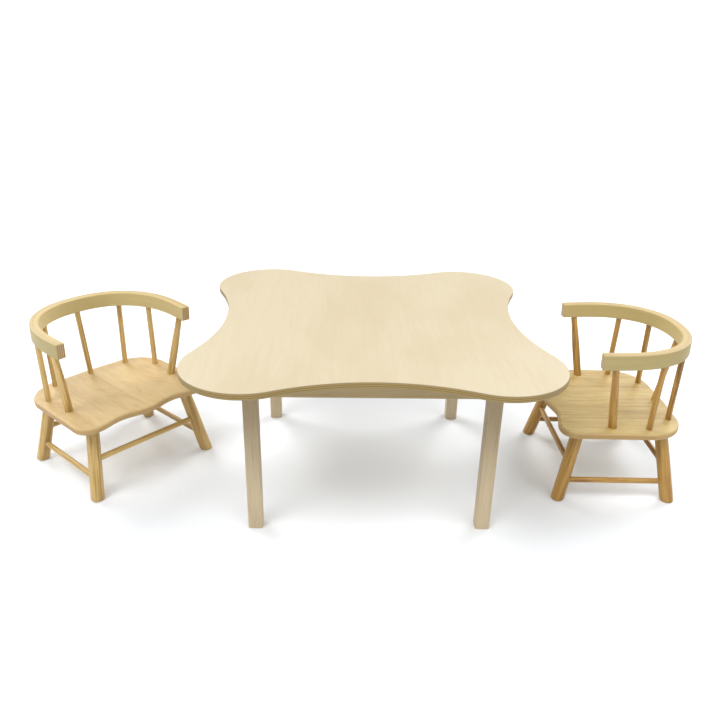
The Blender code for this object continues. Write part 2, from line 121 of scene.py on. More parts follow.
# Suns: the direction that each shines from, its strength and its width in the sky in degrees.
SUNS = {
    "front_key": ((-0.40, -0.42, 1.0), 2.00, 34),
    "front_right": ((0.50, -0.50, 1.0), 1.10, 45),
    "front_low": ((0.10, -0.86, 0.50), 0.30, 45),
    "back_right": ((0.61, 0.61, 0.52), 2.15, 40),
    "back_left": ((-0.61, 0.61, 0.54), 2.25, 40),
}

CORNERS = {"front_left": (-1, -1), "front_right": (1, -1), "back_left": (-1, 1), "back_right": (1, 1)}
CHAIRS = ("left_chair", "right_chair")

# How strongly each body takes the deeper golden tint, which is partly the wood's own colour and partly
# painted shade that darkens the whole right chair.
GOLDEN_AND_SHADED = {"table": 0.0, "left_chair": 0.0, "right_chair": 1.0}

# From this far below its middle to this far above it, a piece darkens to its painted top shade, which stands
# in for the shade that the table top casts on the upper legs.
TOP_SHADE_REACH = 0.20

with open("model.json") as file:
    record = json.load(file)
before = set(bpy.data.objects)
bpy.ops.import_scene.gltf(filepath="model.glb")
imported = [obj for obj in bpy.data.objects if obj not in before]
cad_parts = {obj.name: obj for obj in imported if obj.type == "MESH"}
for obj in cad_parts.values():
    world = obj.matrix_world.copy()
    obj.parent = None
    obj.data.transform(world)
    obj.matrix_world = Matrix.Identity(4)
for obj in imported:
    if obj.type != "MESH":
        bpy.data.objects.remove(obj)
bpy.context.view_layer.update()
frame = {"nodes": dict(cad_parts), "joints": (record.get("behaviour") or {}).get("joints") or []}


# ------------------------------------------------------------------ materials

class Graph:
    """A material's node tree, with short calls for the nodes that are used here."""

    def __init__(self, name):
        self.material = bpy.data.materials.new(name)
        self.material.use_nodes = True
        self.tree = self.material.node_tree
        self.shader = self.tree.nodes["Principled BSDF"]

    def node(self, kind, inputs, **settings):
        made = self.tree.nodes.new(kind)
        for key, value in settings.items():
            setattr(made, key, value)
        for key, value in inputs.items():
            if isinstance(value, bpy.types.NodeSocket):
                self.tree.links.new(value, made.inputs[key])
            else:
                made.inputs[key].default_value = value
        return made

    def attribute(self, name, output="Vector"):
        return self.node("ShaderNodeAttribute", {}, attribute_name=name).outputs[output]

    def scale(self, vector, factors):
        made = self.node("ShaderNodeVectorMath", {0: vector, 1: factors}, operation="MULTIPLY")
        return made.outputs["Vector"]

    def add(self, vector, offset):
        made = self.node("ShaderNodeVectorMath", {0: vector, 1: offset}, operation="ADD")
        return made.outputs["Vector"]

    def turn(self, vector, angles):
        made = self.node("ShaderNodeMapping", {"Vector": vector, "Rotation": angles})
        return made.outputs["Vector"]

    def split(self, vector):
        return self.node("ShaderNodeSeparateXYZ", {0: vector}).outputs

    def math(self, operation, first, second=0.0):
        made = self.node("ShaderNodeMath", {0: first, 1: second}, operation=operation)
        return made.outputs[0]

    def noise(self, vector, scale, detail=3.0, roughness=0.55, distortion=0.0, output="Fac"):
        made = self.node("ShaderNodeTexNoise", {
            "Vector": vector, "Scale": scale, "Detail": detail, "Roughness": roughness,
            "Distortion": distortion})
        return made.outputs[output]

    def ramp(self, value, low, high):
        """0 below low, 1 above high, smooth between."""
        made = self.node("ShaderNodeMapRange", {"Value": value, "From Min": low, "From Max": high},
                         interpolation_type="SMOOTHSTEP")
        return made.outputs["Result"]

    def mix(self, factor, first, second, blend="MIX"):
        made = self.node("ShaderNodeMix", {0: factor, 6: first, 7: second},
                         data_type="RGBA", blend_type=blend)
        return made.outputs[2]

    def bump(self, height, strength, distance):
        made = self.node("ShaderNodeBump", {"Height": height, "Strength": strength, "Distance": distance})
        return made.outputs["Normal"]

    def set(self, **sockets):
        """Sets or links the shader's own sockets, named with _ for a space."""
        for key, value in sockets.items():
            socket = self.shader.inputs[key.replace("_", " ")]
            if isinstance(value, bpy.types.NodeSocket):
                self.tree.links.new(value, socket)
            else:
                socket.default_value = value


def colour(red, green, blue):
    return (red, green, blue, 1.0)


def tree_rings(g, grain, spacing, wobble, sweep, tilt):
    """Late-wood lines of a board cut beside the heart of its tree: 0 between them, 1 on them."""
    place = g.turn(grain, (math.radians(tilt), math.radians(tilt * 0.6), 0.0))
    drift = g.noise(g.scale(place, (8.0, 8.0, sweep)), 1.0, 2.0, output="Color")
    drift = g.scale(g.add(drift, (-0.5, -0.5, -0.5)), (wobble, wobble, 0.0))
    across = g.split(g.add(place, drift))
    squares = g.math("ADD", g.math("MULTIPLY", across[0], across[0]),
                     g.math("MULTIPLY", across[1], across[1]))
    rings = g.math("DIVIDE", g.math("SQRT", squares), spacing)
    saw = g.math("FRACT", rings)
    rise = g.math("POWER", saw, 2.4)
    fall = g.math("SUBTRACT", 1.0, g.ramp(saw, 0.90, 1.0))
    return g.math("MULTIPLY", rise, fall)


def fibres(g, grain, fineness):
    """Long thin streaks along the grain."""
    return g.noise(g.scale(grain, (fineness, fineness, fineness * 0.025)), 1.0, 4.0, 0.62)


def streaks(g, grain, width, low, high):
    """Broad soft streaks along the grain, about that wide: 1 in a streak."""
    return g.ramp(g.noise(g.scale(grain, (1 / width, 1 / width, 0.05 / width)), 1.0, 3.0, 0.6), low, high)


def pores(g, grain, density):
    """Short dark pore dashes along the grain, 1 in a pore."""
    dashes = g.noise(g.scale(grain, (density, density, density * 0.07)), 1.0, 1.0, 0.4)
    return g.ramp(dashes, 0.66, 0.76)


def finish_wood(g, base, fibre, worn, roughness, bump, coat):
    """Common end of every wood: worn edges, sheen that follows the fibres, and a satin lacquer."""
    edges = g.math("MULTIPLY", g.attribute("wear", "Fac"), g.math("MULTIPLY", fibre, 0.5))
    base = g.mix(edges, base, worn)
    rough = g.node("ShaderNodeMapRange", {"Value": fibre, "To Min": roughness - 0.06,
                                          "To Max": roughness + 0.08}).outputs["Result"]
    g.set(Base_Color=base, Roughness=rough, Normal=g.bump(fibre, bump, 0.0004),
          Coat_Weight=coat, Coat_Roughness=0.40, IOR=1.48)
    return g.material


def solid_wood(name, light, late, patch, pore, ring_spacing, ring_strength, streak, tilt=2.2, wobble=0.030,
               sweep=1.6, aged_and_shaded=(1.0, 1.0, 1.0), roughness=0.50, coat=0.07, staves=0.0,
               painted_top_shade=(1.0, 1.0, 1.0)):
    """A plain sawn or turned wood. With staves, it is glued up of boards that many metres wide.
    The streak pair says how strongly streaks show in plain and in deeper golden wood. The tilt says how
    steeply the board cuts the rings, wobble and sweep how far and how fast they wander. Deeper golden wood
    is multiplied by its golden tint, which is partly the wood's own colour and partly painted shade, and the
    upper part of an upright piece by a painted shade that darkens it towards its top."""
    g = Graph(name)
    grain = g.attribute("grain")
    tone = g.attribute("tone", "Fac")
    if staves:
        board = g.math("FLOOR", g.math("DIVIDE", g.split(g.attribute("place"))[0], staves))
        cut = g.node("ShaderNodeTexWhiteNoise", {"W": g.math("ADD", board, g.math("MULTIPLY", tone, 37.0))},
                     noise_dimensions="1D")
        grain = g.add(grain, g.scale(cut.outputs["Color"], (0.10, 0.06, 3.0)))
        tone = g.math("ADD", tone, g.math("MULTIPLY", g.math("SUBTRACT", cut.outputs["Value"], 0.5), 0.9))
    rings = tree_rings(g, grain, ring_spacing, wobble, sweep, tilt)
    fibre = fibres(g, grain, 620.0)
    broad = g.noise(g.scale(grain, (16.0, 16.0, 3.0)), 1.0, 3.0)
    patchy = g.math("ADD", 0.35, g.ramp(broad, 0.35, 0.60))
    base = g.mix(g.math("MULTIPLY", g.math("MULTIPLY", rings, patchy), ring_strength), colour(*light),
                 colour(*late))
    base = g.mix(g.math("MULTIPLY", g.ramp(broad, 0.40, 0.72), 0.55), base, colour(*patch))
    golden_and_shaded = g.attribute("golden_and_shaded", "Fac")
    streaky = g.math("ADD", streak[0], g.math("MULTIPLY", golden_and_shaded, streak[1] - streak[0]))
    streaky = g.math("MULTIPLY", streaky, patchy)
    wide = streaks(g, grain, 0.017, 0.46, 0.62)
    base = g.mix(g.math("MULTIPLY", wide, streaky), base, colour(*late))
    pale = streaks(g, g.add(grain, (3.1, 1.7, 0.9)), 0.013, 0.52, 0.66)
    base = g.mix(g.math("MULTIPLY", pale, streaky), base, colour(*[min(1.18 * c, 0.9) for c in light]))
    narrow = streaks(g, g.add(grain, (0.7, 5.3, 2.9)), 0.0060, 0.54, 0.68)
    brown = [0.5 * (a + b) for a, b in zip(late, pore)]
    base = g.mix(g.math("MULTIPLY", narrow, streaky), base, colour(*brown))
    base = g.mix(g.math("MULTIPLY", g.ramp(fibre, 0.45, 0.75), 0.28), base, colour(*late))
    base = g.mix(g.math("MULTIPLY", pores(g, grain, 1500.0), 0.35), base, colour(*pore))
    shade = g.node("ShaderNodeMapRange", {"Value": tone, "From Min": -0.5, "From Max": 0.5,
                                          "To Min": 0.93, "To Max": 1.06}).outputs["Result"]
    tint = g.node("ShaderNodeCombineXYZ", {0: shade, 1: shade, 2: shade}).outputs[0]
    base = g.mix(1.0, base, tint, "MULTIPLY")
    # Deeper golden tint: partly the wood's own colour and partly painted shade.
    base = g.mix(golden_and_shaded, base, colour(*aged_and_shaded), "MULTIPLY")
    # Painted shade: the upper part of an upright piece darkens towards its top, standing in for the shade
    # under the table top.
    height = g.ramp(g.split(g.attribute("place"))[2], -TOP_SHADE_REACH, TOP_SHADE_REACH)
    base = g.mix(height, base, colour(*painted_top_shade), "MULTIPLY")
    if staves:
        share = g.math("FRACT", g.math("DIVIDE", g.split(g.attribute("place"))[0], staves))
        beside = g.math("ABSOLUTE", g.math("SUBTRACT", share, 0.5))
        joint = g.ramp(beside, 0.5 - 0.0007 / staves, 0.5)
        base = g.mix(g.math("MULTIPLY", joint, 0.45), base, colour(*pore))
    base = g.mix(g.math("MULTIPLY", g.attribute("edge", "Fac"), 0.60), base, colour(*late))
    worn = colour(*[1.12 * c for c in light])
    return finish_wood(g, base, fibre, worn, roughness, bump=0.16, coat=coat)


def plywood(name, face, figure, long_edge, cross_edge, glue, ply, across, outer_face_shade=(1.0, 1.0, 1.0),
            aged_and_shaded=(1.0, 1.0, 1.0)):
    """Stacked veneers with crossed grain; across is the axis of the stack in the piece's own place.
    The face veneer on the far side of the stack is darkened by a painted shade on the rail's outer face, and
    deeper golden wood is multiplied by its tint, which is partly the wood's own colour and partly painted
    shade."""
    g = Graph(name)
    grain = g.attribute("grain")

    # The face veneer is peeled from the log, so its figure is broad and flame-like.
    swirl = g.noise(g.scale(grain, (6.0, 6.0, 1.2)), 1.0, 2.0, 0.5, 0.3)
    flame = g.math("SINE", g.math("MULTIPLY", swirl, 110.0))
    fibre = fibres(g, grain, 520.0)
    broad = g.noise(g.scale(grain, (5.0, 5.0, 2.2)), 1.0, 3.0)
    base = g.mix(g.math("MULTIPLY", g.ramp(flame, -1.0, 1.0), 0.14), colour(*face), colour(*figure))
    base = g.mix(g.math("MULTIPLY", g.ramp(broad, 0.38, 0.70), 0.60), base, colour(*figure))
    base = g.mix(g.math("MULTIPLY", streaks(g, grain, 0.016, 0.44, 0.70), 0.35), base, colour(*figure))
    base = g.mix(g.math("MULTIPLY", g.ramp(fibre, 0.48, 0.78), 0.30), base, colour(*figure))
    base = g.mix(g.math("MULTIPLY", pores(g, grain, 1100.0), 0.14), base, colour(*long_edge))

    # Painted shade: the face veneer on the far side of the stack, the rail's outer face, is darkened.
    far = g.ramp(g.split(g.attribute("place"))[across], -0.001, 0.001)
    base = g.mix(far, base, colour(*outer_face_shade), "MULTIPLY")

    # The cut edges show the stack: the middle ply is number 0, and every odd one is end grain.
    layer = g.math("ADD", g.math("DIVIDE", g.split(g.attribute("place"))[across], ply), 0.5)
    crossed = g.math("GREATER_THAN", g.math("FRACT", g.math("MULTIPLY", g.math("FLOOR", layer), 0.5)), 0.25)
    glue_line = g.ramp(g.math("ABSOLUTE", g.math("SUBTRACT", g.math("FRACT", layer), 0.5)), 0.40, 0.5)
    speckle = g.ramp(g.noise(grain, 1300.0, 2.0), 0.35, 0.70)
    ends = g.mix(speckle, colour(*cross_edge), colour(*[0.80 * c for c in cross_edge]))
    sides = g.mix(g.math("MULTIPLY", fibre, 0.5), colour(*long_edge), colour(*cross_edge))
    layers = g.mix(crossed, sides, ends)
    layers = g.mix(g.math("MULTIPLY", glue_line, 0.7), layers, colour(*glue))
    base = g.mix(g.attribute("edge", "Fac"), base, layers)
    # Deeper golden tint: partly the wood's own colour and partly painted shade.
    base = g.mix(g.attribute("golden_and_shaded", "Fac"), base, colour(*aged_and_shaded), "MULTIPLY")
    worn = colour(*[1.06 * c for c in face])
    return finish_wood(g, base, fibre, worn, roughness=0.52, bump=0.10, coat=0.05)


def zinc_steel():
    """Zinc-plated steel: bright, with cloudy passivation and faint drawing marks."""
    g = Graph("zinc_plated_steel")
    grain = g.attribute("grain")
    cloud = g.noise(grain, 180.0, 4.0)
    marks = g.noise(g.scale(grain, (2500.0, 2500.0, 60.0)), 1.0, 2.0)
    base = g.mix(g.ramp(cloud, 0.35, 0.65), colour(0.60, 0.62, 0.65), colour(0.72, 0.71, 0.62))
    rough = g.node("ShaderNodeMapRange", {"Value": cloud, "To Min": 0.22, "To Max": 0.42}).outputs["Result"]
    g.set(Base_Color=base, Roughness=rough, Metallic=1.0, Normal=g.bump(marks, 0.15, 0.0002))
    return g.material


# The darker top of the birch legs, the darker birch of the boards and the darker outer face of the bent
# plywood are painted shade, and the deeper golden tints are partly the wood's own colour and partly painted
# shade; all were matched to one photo.
BIRCH_PLY = plywood(
    "birch_plywood", face=(0.495, 0.43, 0.30), figure=(0.45, 0.37, 0.24), long_edge=(0.385, 0.275, 0.090),
    cross_edge=(0.215, 0.137, 0.036), glue=(0.085, 0.046, 0.012), ply=TOP_PLY, across=2)
# Bent plywood for the arm rails; its darker outer face is painted shade.
BENT_PLY = plywood(
    "bent_plywood", face=(0.56, 0.45, 0.215), figure=(0.48, 0.37, 0.14), long_edge=(0.445, 0.385, 0.280),
    cross_edge=(0.42, 0.235, 0.050), glue=(0.14, 0.060, 0.010), ply=RAIL_PLY, across=0,
    outer_face_shade=(0.79, 0.79, 0.74), aged_and_shaded=(0.93, 0.91, 0.86))
# Birch for the legs and corner blocks; its darker top colour is painted shade.
BIRCH = solid_wood(
    "birch", light=(0.59, 0.475, 0.31), late=(0.49, 0.375, 0.215), patch=(0.54, 0.425, 0.26),
    pore=(0.30, 0.22, 0.13), ring_spacing=0.0080, ring_strength=0.40, streak=(0.30, 0.30),
    painted_top_shade=(0.62, 0.58, 0.49))
# Painted shade: a darker copy of the birch for the aprons, which stand in the shade of the table top.
SHADED_BIRCH_BOARD = solid_wood(
    "birch_boards_painted_shade", light=(0.375, 0.275, 0.130), late=(0.305, 0.215, 0.088), patch=(0.34, 0.245, 0.105),
    pore=(0.22, 0.16, 0.08), ring_spacing=0.0080, ring_strength=0.40, streak=(0.35, 0.35))
# The deeper golden tints of the beech woods below are partly the wood's own colour and partly painted shade.
BEECH = solid_wood(
    "lacquered_beech", light=(0.60, 0.415, 0.155), late=(0.38, 0.225, 0.058), patch=(0.53, 0.345, 0.105),
    pore=(0.20, 0.10, 0.03), ring_spacing=0.0065, ring_strength=0.60, streak=(0.80, 0.80),
    aged_and_shaded=(0.74, 0.605, 0.335), coat=0.15, roughness=0.45)
SEAT_BEECH = solid_wood(
    "lacquered_beech_staves", light=(0.545, 0.405, 0.195), late=(0.41, 0.25, 0.090),
    patch=(0.47, 0.315, 0.130), pore=(0.22, 0.12, 0.037), ring_spacing=0.0300, ring_strength=0.50,
    streak=(0.24, 0.60), tilt=9.0, wobble=0.16, sweep=4.5, aged_and_shaded=(0.79, 0.80, 0.63), coat=0.07,
    roughness=0.54, staves=STAVE_WIDTH)
STEEL = zinc_steel()


# ------------------------------------------------------------------ building pieces

def along_x(point):
    return Vector((point[1], point[2], point[0]))


def along_y(point):
    return Vector((point[0], point[2], point[1]))


def along_z(point):
    return Vector(point)


class Skin:
    """A mesh built ring by ring. Each point keeps its place in the tree (grain, with the third axis
    along the fibres), its place in the piece, its edge wear and how far it is on a cut edge."""

    def __init__(self, node, to_grain=along_z):
        self.node = node
        self.to_grain = to_grain
        random = np.random.default_rng(zlib.crc32(node.encode()))
        self.shift = Vector(random.uniform((0.05, 0.04, 0.0), (0.16, 0.12, 9.0)))
        self.tone = random.uniform(-0.5, 0.5)
        self.bm = bmesh.new()
        layers = self.bm.verts.layers
        self.grain = layers.float_vector.new("grain")
        self.place = layers.float_vector.new("place")
        self.wear = layers.float.new("wear")
        self.edge = layers.float.new("edge")
        self.tones = layers.float.new("tone")
        self.golden_and_shaded = layers.float.new("golden_and_shaded")
        self.last = None

    def ring(self, points, wear=0.0, edge=0.0, places=None):
        """Adds a ring of points and joins it to the ring before it."""
        verts = []
        for index, point in enumerate(points):
            vert = self.bm.verts.new(point)
            place = Vector(point if places is None else places[index])
            vert[self.place] = place
            vert[self.grain] = self.to_grain(place) + self.shift
            vert[self.wear] = wear
            vert[self.edge] = edge[index] if np.ndim(edge) else edge
            vert[self.tones] = self.tone
            verts.append(vert)
        if self.last is None:
            self.bm.faces.new(verts[::-1])
        else:
            for index in range(len(verts)):
                after = (index + 1) % len(verts)
                self.bm.faces.new((self.last[index], self.last[after], verts[after], verts[index]))
        self.last = verts

    def finish(self, material, body, placement):
        """Closes the skin and puts the piece in the scene in place of its CAD node."""
        self.bm.faces.new(self.last)
        for vert in self.bm.verts:
            # Each point carries its body's share of the deeper golden tint, partly the wood's own colour and
            # partly painted shade.
            vert[self.golden_and_shaded] = GOLDEN_AND_SHADED[body]
        bmesh.ops.recalc_face_normals(self.bm, faces=self.bm.faces)
        name = self.node + "_finished"
        mesh = bpy.data.meshes.new(name)
        self.bm.to_mesh(mesh)
        self.bm.free()
        mesh.transform(placement)
        mesh.shade_smooth()
        mesh.set_sharp_from_angle(angle=SHARP)
        mesh.materials.append(material)
        piece = bpy.data.objects.new(name, mesh)
        bpy.context.scene.collection.objects.link(piece)
        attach(piece, body)
        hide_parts(self.node)


def quarter():
    """Angles of a quarter turn."""
    return np.linspace(0.0, math.pi / 2, EDGE_STEPS)


def add_slab(skin, outline, low, high, radius, edge=0.0):
    """A flat board with rounded rims: its outline in plan, counterclockwise, from low to high."""
    outline = np.array(outline)
    tangent = np.roll(outline, -1, axis=0) - np.roll(outline, 1, axis=0)
    tangent /= np.linalg.norm(tangent, axis=1)[:, None]
    inward = np.column_stack((-tangent[:, 1], tangent[:, 0]))

    def level(inset, height, angle):
        """One ring; the angle is 0 on an upright face and a right angle on a flat one."""
        plan = outline + inward * inset
        cut = edge * (1 - math.sin(angle) ** 4)
        skin.ring([(x, y, height) for x, y in plan], math.sin(2 * angle), cut)

    band = min(WEAR_BAND, radius)
    level(radius + band, low, math.pi / 2)
    for angle in quarter()[::-1]:
        level(radius * (1 - math.cos(angle)), low + radius * (1 - math.sin(angle)), angle)
    for angle in quarter():
        level(radius * (1 - math.cos(angle)), high - radius * (1 - math.sin(angle)), angle)
    level(radius + band, high, math.pi / 2)


def arc(centre, radius, start, end, count):
    """Points on a circle arc, without its last one."""
    angles = np.linspace(start, end, count, endpoint=False)
    return [(centre[0] + radius * math.cos(a), centre[1] + radius * math.sin(a)) for a in angles]


def rounded_rectangle(low, high, radius):
    """Counterclockwise plan outline between two corners."""
    points = []
    for quarter_turn, (x, y) in enumerate(((high[0], high[1]), (low[0], high[1]), (low[0], low[1]),
                                           (high[0], low[1]))):
        centre = (x - math.copysign(radius, x - low[0] - 1e-9), y - math.copysign(radius, y - low[1] - 1e-9))
        start = quarter_turn * math.pi / 2
        points += [(centre[0] + radius * math.cos(a), centre[1] + radius * math.sin(a))
                   for a in np.linspace(start, start + math.pi / 2, CORNER_STEPS)]
    return points


def aligned(start, end):
    """A matrix at start whose Z axis points at end."""
    direction = Vector(end) - Vector(start)
    return Matrix.Translation(start) @ direction.to_track_quat("Z", "Y").to_matrix().to_4x4()


def node_points(node, into=None):
    """The distinct points of a CAD node, in the row frame or in the frame that into leads to."""
    points = np.array([vert.co for vert in frame["nodes"][node].data.vertices])
    if into is not None:
        turn = np.array(into.to_3x3())
        points = points @ turn.T + np.array(into.translation)
    return np.unique(points.round(6), axis=0)


def bar_of(points):
    """Both ends of a straight round bar and its radius at each, from its CAD points."""
    middle = points.mean(axis=0)
    axis = np.linalg.svd(points - middle, full_matrices=False)[2][0]
    axis *= math.copysign(1.0, axis[np.argmax(np.abs(axis))])
    along = (points - middle) @ axis
    ends, radii = [], []
    for end in (along.min(), along.max()):
        rim = points[np.abs(along - end) < 0.001]
        centre = rim.mean(axis=0)
        ends.append(Vector(centre))
        radii.append(np.linalg.norm(rim - centre, axis=1).max())
    return *ends, *radii


def circle(radius, height, sides=ROUND_SIDES):
    angles = np.linspace(0.0, math.tau, sides, endpoint=False)
    return [(radius * math.cos(a), radius * math.sin(a), height) for a in angles]


def add_turned(skin, profile, sides=ROUND_SIDES):
    """Rings of (radius, height), bottom to top."""
    for radius, height in profile:
        skin.ring(circle(radius, height, sides))


def make_rod(node, material, body, chair):
    """A straight or tapered round bar in place of its CAD node, with a small chamfer at each end."""
    start, end, low, high = bar_of(node_points(node, chair.inverted()))
    length = (end - start).length
    skin = Skin(node)
    chamfer = ROD_END_CHAMFER
    add_turned(skin, [(low - 2 * chamfer, 0.0), (low - chamfer, 0.0), (low, chamfer)])
    for share in np.linspace(*TAPER_SPAN, 6):
        done = (share - TAPER_SPAN[0]) / (TAPER_SPAN[1] - TAPER_SPAN[0])
        change = (1 - math.cos(math.pi * done)) / 2
        add_turned(skin, [(low + (high - low) * change, length * share)])
    add_turned(skin, [(high, length - chamfer), (high - chamfer, length), (high - 2 * chamfer, length)])
    skin.finish(material, body, chair @ aligned(start, end))


# ------------------------------------------------------------------ table

def table_top_outline(span):
    """Lobes and hollows, each tangent to the one beside it, about the middle of the table."""
    lobe_centre = span / 2 - TOP_LOBE_RADIUS
    waist = span / 2 - TOP_HOLLOW
    waist_inside = waist - lobe_centre
    hollow_radius = (lobe_centre**2 + waist_inside**2 - TOP_LOBE_RADIUS**2) / (
        2 * (TOP_LOBE_RADIUS - waist_inside))
    hollow_centre = waist + hollow_radius
    half_angle = math.atan2(lobe_centre, hollow_centre - lobe_centre)
    points = []
    for quarter_turn in range(4):
        turn = quarter_turn * math.pi / 2
        hollow = arc((hollow_centre, 0.0), hollow_radius, math.pi + half_angle, math.pi - half_angle, 36)
        lobe = arc((lobe_centre, lobe_centre), TOP_LOBE_RADIUS, -half_angle, math.pi / 2 + half_angle, 60)
        points += [(x * math.cos(turn) - y * math.sin(turn), x * math.sin(turn) + y * math.cos(turn))
                   for x, y in hollow + lobe]
    return points


def make_table():
    low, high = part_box("table_top")
    middle = (low + high) / 2
    top = Skin("table_top", along_y)
    outline = table_top_outline(high.x - low.x)
    add_slab(top, outline, low.z - middle.z, high.z - middle.z, TOP_EDGE_RADIUS, edge=1.0)
    top.finish(BIRCH_PLY, "table", Matrix.Translation(middle))

    for corner in CORNERS:
        make_board(f"table_leg_{corner}", BIRCH, along_z, LEG_EDGE_RADIUS, LEG_END_ROUNDING)
    # The aprons take the darker birch, whose darkness is painted shade.
    for side in ("front", "back"):
        make_board(f"apron_{side}", SHADED_BIRCH_BOARD, along_x, BOARD_ROUNDING, BOARD_ROUNDING)
    for side in ("left", "right"):
        make_board(f"apron_{side}", SHADED_BIRCH_BOARD, along_y, BOARD_ROUNDING, BOARD_ROUNDING)
    for corner, signs in CORNERS.items():
        make_corner_block(corner, *signs)
        make_hanger_bolt(corner)
        make_top_screw(corner)


def make_board(node, material, to_grain, side_rounding, end_rounding):
    """A straight board or leg: rounded upright edges and rounded rims."""
    low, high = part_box(node)
    middle = (low + high) / 2
    low, high = low - middle, high - middle
    skin = Skin(node, to_grain)
    add_slab(skin, rounded_rectangle(low, high, side_rounding), low.z, high.z, end_rounding)
    skin.finish(material, "table", Matrix.Translation(middle))


def make_corner_block(corner, sx, sy):
    """A block across a corner, whose slanted ends lie flat on the two aprons."""
    node = f"corner_block_{corner}"
    low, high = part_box(node)
    table_middle = sum(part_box("table_top"), Vector()) / 2
    near = min(abs(low.x - table_middle.x), abs(high.x - table_middle.x))
    wall = max(abs(low.x - table_middle.x), abs(high.x - table_middle.x))
    far = near + math.sqrt(2) * BLOCK_THICKNESS
    outline = [(wall, far), (far, wall), (near, wall), (wall, near)]
    if sx * sy < 0:
        outline = outline[::-1]
    fine = []
    for index in range(len(outline)):
        before, here, after = (Vector(outline[i % 4]) for i in (index - 1, index, index + 1))
        for share in np.linspace(0.0, 1.0, 5):
            start = here + (before - here).normalized() * BOARD_ROUNDING
            end = here + (after - here).normalized() * BOARD_ROUNDING
            point = start * (1 - share) ** 2 + here * 2 * share * (1 - share) + end * share**2
            fine.append((sx * point.x, sy * point.y))
    across = Vector((sx, -sy, 0.0)).normalized()
    outward = Vector((sx, sy, 0.0)).normalized()

    def grain_across(point):
        return Vector((Vector(point).dot(outward), point[2], Vector(point).dot(across)))

    skin = Skin(node, grain_across)
    half = (high.z - low.z) / 2
    add_slab(skin, fine, -half, half, BOARD_ROUNDING)
    skin.finish(BIRCH, "table", Matrix.Translation((table_middle.x, table_middle.y, (low.z + high.z) / 2)))


def add_thread(skin, start, end, radius, depth, pitch, taper=0.0):
    """Rings of a screw thread: the radius dips by depth once in every pitch of its helix.
    Over its last three tenths a tapered thread narrows by the share taper."""
    for height in np.arange(start, end, pitch / THREAD_STEPS):
        ring = []
        for angle in np.linspace(0.0, math.tau, THREAD_SIDES, endpoint=False):
            phase = (height / pitch + angle / math.tau) % 1.0
            groove = depth * (1 - abs(2 * phase - 1)) ** 0.8
            shrink = 1.0 - taper * max(0.0, (height - start) / (end - start) - 0.7) / 0.3
            here = (radius - groove) * shrink
            ring.append((here * math.cos(angle), here * math.sin(angle), height))
        skin.ring(ring)


def make_hanger_bolt(corner):
    """The hanger bolt: a machine thread for the nut, a plain shank and a wood thread in the leg."""
    node = f"hanger_bolt_{corner}"
    start, end, radius, _ = bar_of(node_points(node))
    leg_low, leg_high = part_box(f"table_leg_{corner}")
    if ((leg_low + leg_high) / 2 - start).xy.length < ((leg_low + leg_high) / 2 - end).xy.length:
        start, end = end, start
    length = (end - start).length
    skin = Skin(node)
    skin.ring(circle(radius * 0.7, 0.0, THREAD_SIDES))
    add_thread(skin, 0.0006, BOLT_THREAD_LENGTH, radius, BOLT_THREAD_DEPTH, BOLT_PITCH)
    shank = radius - BOLT_THREAD_DEPTH / 2
    lag = length - LAG_THREAD_LENGTH
    skin.ring(circle(shank, BOLT_THREAD_LENGTH + BOLT_PITCH / 2, THREAD_SIDES))
    skin.ring(circle(shank, lag - BOLT_PITCH / 2, THREAD_SIDES))
    add_thread(skin, lag, length - 0.0004, radius, LAG_THREAD_DEPTH, LAG_PITCH, taper=0.7)
    skin.ring(circle(radius * 0.15, length, THREAD_SIDES))
    skin.finish(STEEL, "table", aligned(start, end))

    node = f"hanger_nut_{corner}"
    along = (end - start).normalized()
    spokes = [Vector(point) - start for point in node_points(node)]
    heights = [spoke.dot(along) for spoke in spokes]
    flange_radius = max((spoke - along * spoke.dot(along)).length for spoke in spokes)
    face, seat = min(heights), max(heights)
    shoulder = seat - NUT_FLANGE_HEIGHT
    corner_radius = flange_radius * 0.75
    skin = Skin(node)

    def hexagon(reach, height, cap):
        """The nut's six flats, turned down to the radius cap where that is smaller."""
        ring = []
        for angle in np.linspace(0.0, math.tau, ROUND_SIDES, endpoint=False):
            off_flat = (angle + math.pi / 6) % (math.pi / 3) - math.pi / 6
            here = min(reach * math.cos(math.pi / 6) / math.cos(off_flat), cap)
            ring.append((here * math.cos(angle), here * math.sin(angle), height))
        skin.ring(ring)

    skin.ring(circle(radius + NUT_BORE_GAP, face + NUT_CHAMFER))
    skin.ring(circle(radius + NUT_CHAMFER, face))
    flat = corner_radius * math.cos(math.pi / 6)
    hexagon(corner_radius, face, flat)
    hexagon(corner_radius, face + NUT_CHAMFER, corner_radius)
    hexagon(corner_radius, shoulder, corner_radius)
    skin.ring(circle(flange_radius - NUT_CHAMFER, shoulder))
    skin.ring(circle(flange_radius, shoulder + NUT_CHAMFER / 2))
    skin.ring(circle(flange_radius, seat))
    skin.finish(STEEL, "table", aligned(start, end))


